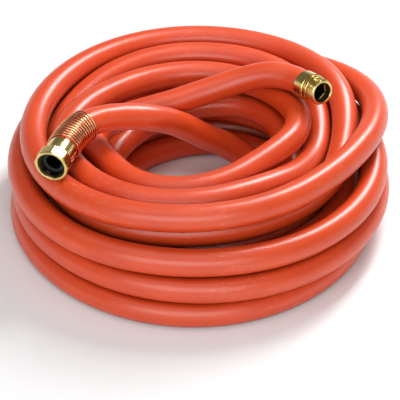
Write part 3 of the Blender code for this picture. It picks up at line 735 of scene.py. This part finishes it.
def build_ferrule(name, node_name, front, back, place):
    """A crimp sleeve with rolled edges."""
    inside = HOSE_RADIUS + FIT_GAP
    wall_back = front + FERRULE_FRONT_WALL
    rows = [(front, NECK_HOLE_RADIUS)]
    rows += [(front + depth, FERRULE_RADIUS - inset) for depth, inset in FERRULE_FRONT_ROLL]
    rows += [(back - depth, FERRULE_RADIUS - inset) for depth, inset in FERRULE_BACK_ROLL]
    rows += [(back, inside), (wall_back, inside), (wall_back, NECK_HOLE_RADIUS)]
    item = lathe(name, rows, place, BRASS, FERRULE_SEGMENTS)
    crisp(item, degrees=32)
    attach(item, "hose")
    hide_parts(node_name)
    return item


def build_guard(points):
    """The wire spring, wound on the hose's own curve."""
    start = FERRULE_BACK - FEMALE_SEAT + FIT_GAP + GUARD_WIRE / 2
    # the part's curls have few points, and their corners stand out this far
    radius = (HOSE_RADIUS + FIT_GAP + GUARD_WIRE / 2) / math.cos(math.pi / CURL_POINTS)
    count = round(GUARD_CURLS * CURL_STEPS)
    distances = start + GUARD_PITCH * np.arange(count + 1) / CURL_STEPS
    centres = points_at(points, distances)
    heads = (points_at(points, distances + HEADING_REACH)
             - points_at(points, distances - HEADING_REACH))
    wire = []
    for k in range(count + 1):
        head = heads[k] / np.linalg.norm(heads[k])
        side = np.cross((0, 0, 1), head)
        side /= np.linalg.norm(side)
        above = np.cross(head, side)
        angle = 2 * math.pi * k / CURL_STEPS
        wire.append(centres[k] + radius * (math.cos(angle) * side + math.sin(angle) * above))
    wire = np.array(wire)
    rings = wire[:, None, :] + GUARD_WIRE / 2 * circles_across(wire, WIRE_SIDES)
    item = tube("guard_wire", rings, lengths_along(wire), COPPER)
    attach(item, "hose")
    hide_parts("spring_guard")


def build_male_stem(place):
    """The threaded stem: rim, thread, collar, groove, neck and barbs, then the bore with its
    hexagon, back to the mouth."""
    barbs = [(MALE_SEAT + STEM_BARB_PITCH * k + depth, radius)
             for k in range(STEM_BARBS) for depth, radius in STEM_BARB]
    facets = polygon(6, HEX_ACROSS_FLATS, HEX_TURN)
    edge = polygon(6, HEX_EDGE_ACROSS_FLATS, HEX_TURN)
    rows = STEM_RIM + thread_rows(**STEM_THREAD) + STEM_COLLAR + STEM_GROOVE + STEM_NECK
    rows += barbs + [STEM_END]
    # painted shade: the bore, the hexagon's walls and the counterbore's floor are near-black
    # brass, standing in for the shade inside
    rows += finished(PAINTED_SHADE_BRASS, STEM_BORE + [(HEX_BACK, facets)])
    # painted shade, lighter: the hexagon's front rim and the counterbore's wall are darkened
    # brass
    rows += finished(PAINTED_HALF_SHADE_BRASS, [(HEX_FRONT, facets)])
    rows += finished(PAINTED_SHADE_BRASS, [(COUNTERBORE_DEPTH, within(edge, HEX_EDGE_RADIUS))])
    rows += finished(PAINTED_HALF_SHADE_BRASS, [(COUNTERBORE_DEPTH, COUNTERBORE_RADIUS)])
    rows += [(COUNTERBORE_BEVEL, COUNTERBORE_RADIUS)]
    item = lathe("male_stem_fine", rows, place, BRASS, STEM_SEGMENTS)
    crisp(item, degrees=24)
    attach(item, "hose")
    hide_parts("male_stem")
    return item


def dress_inner_pieces():
    """Materials for the CAD nodes inside the couplings, the tailpiece in painted shade."""
    # painted shade: the tailpiece is near-black brass, standing in for the shade inside the
    # coupling
    looks = {"female_tailpiece": PAINTED_SHADE_BRASS, "hose_inner_tube_female": BLACK,
             "hose_inner_tube_male": BLACK, "hose_reinforcement_female": CORD,
             "hose_reinforcement_male": CORD}
    for name, material in looks.items():
        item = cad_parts[name]
        item.data.materials.clear()
        item.data.materials.append(material)


# ---------------------------------------------------------------- floor and light
def build_floor():
    """A pale matt floor. Far from the object it is seen as evenly pale, whatever lights it."""
    material, tree, shader = shader_material("floor")
    link = tree.links.new
    shader.inputs["Roughness"].default_value = 0.9
    shader.inputs["Specular IOR Level"].default_value = 0.1
    coords = node(tree, "ShaderNodeTexCoord")
    from_centre = node(tree, "ShaderNodeVectorMath", operation="LENGTH")
    link(coords.outputs["Object"], from_centre.inputs[0])
    # from half a metre out, and wholly from 1.4 m; a ramp reads 0 to 1, so 0 to 2 m is halved
    far = ramp(tree, math_node(tree, "MULTIPLY", from_centre.outputs["Value"], 0.5),
               [(0.25, grey(0.0)), (0.70, grey(1.0))])
    paths = node(tree, "ShaderNodeLightPath")
    seen = math_node(tree, "MAXIMUM", paths.outputs["Is Camera Ray"],
                     math_node(tree, "MAXIMUM", paths.outputs["Is Glossy Ray"],
                               paths.outputs["Is Transmission Ray"]))
    link(mixed(tree, seen, FLOOR_LIT, FLOOR_SEEN), shader.inputs["Base Color"])
    pale = node(tree, "ShaderNodeEmission", Color=grey(PALE), Strength=1.0)
    blend = node(tree, "ShaderNodeMixShader")
    link(math_node(tree, "MULTIPLY", far, seen), blend.inputs[0])
    link(shader.outputs[0], blend.inputs[1])
    link(pale.outputs[0], blend.inputs[2])
    link(blend.outputs[0], tree.nodes["Material Output"].inputs[0])
    verts = [(x * FLOOR_REACH, y * FLOOR_REACH, 0)
             for x, y in ((-1, -1), (1, -1), (1, 1), (-1, 1))]
    item = put("floor", verts, [(0, 1, 2, 3)], material, smooth=False)
    item.location.z = -FLOOR_DROP


def area_light(name, offset, size_x, size_y, power):
    """A rectangular lamp at an offset from the lit middle, turned to face it."""
    data = bpy.data.lights.new(name, "AREA")
    data.shape = "RECTANGLE"
    data.size = size_x
    data.size_y = size_y
    data.energy = power
    item = add_object(name, data)
    item.location = LIGHT_TARGET + offset
    item.rotation_euler = (item.location - LIGHT_TARGET).to_track_quat("Z", "Y").to_euler()


def build_light():
    """A strip softbox high at the right behind, two broad soft fills, a pale studio."""
    area_light("key_strip", 1.4 * Vector((0.38, 0.56, 0.74)), 0.34, 0.95, KEY_POWER)
    area_light("overhead", 2.0 * Vector((-0.10, -0.15, 0.98)), 1.6, 1.6, OVERHEAD_POWER)
    area_light("front_fill", 2.1 * Vector((-0.10, -0.86, 0.50)), 2.2, 1.2, FRONT_POWER)
    world = bpy.data.worlds.new("studio")
    bpy.context.scene.world = world
    world.use_nodes = True
    tree = world.node_tree
    tree.nodes.clear()
    output = tree.nodes.new("ShaderNodeOutputWorld")
    coords = node(tree, "ShaderNodeTexCoord")
    split = node(tree, "ShaderNodeSeparateXYZ")
    tree.links.new(coords.outputs["Generated"], split.inputs[0])
    # pale up to a little above the horizon, dim above that
    sky = ramp(tree, split.outputs[2],
               [(0.0, grey(PALE)), (0.10, grey(PALE)), (0.24, grey(DIM)), (1.0, grey(DIM))])
    lit = node(tree, "ShaderNodeBackground", Strength=1.0)
    tree.links.new(sky, lit.inputs["Color"])
    tree.links.new(lit.outputs[0], output.inputs[0])


make_camera()
hose, hose_points, hose_length = build_hose()
female_place = coupling_matrix(FEMALE_MOUTH, FEMALE_BACK)
male_place = coupling_matrix(MALE_MOUTH, MALE_BACK)
build_nut(female_place)
build_washer(female_place)
build_ferrule("female_sleeve", "female_ferrule", FERRULE_FRONT, FERRULE_BACK, female_place)
male_sleeve = build_ferrule("male_sleeve", "male_ferrule", MALE_FERRULE_FRONT,
                            MALE_FERRULE_BACK, male_place)
build_guard(hose_points)
male_stem = build_male_stem(male_place)
dress_inner_pieces()
build_floor()
build_light()
bpy.context.scene.view_settings.view_transform = "Standard"
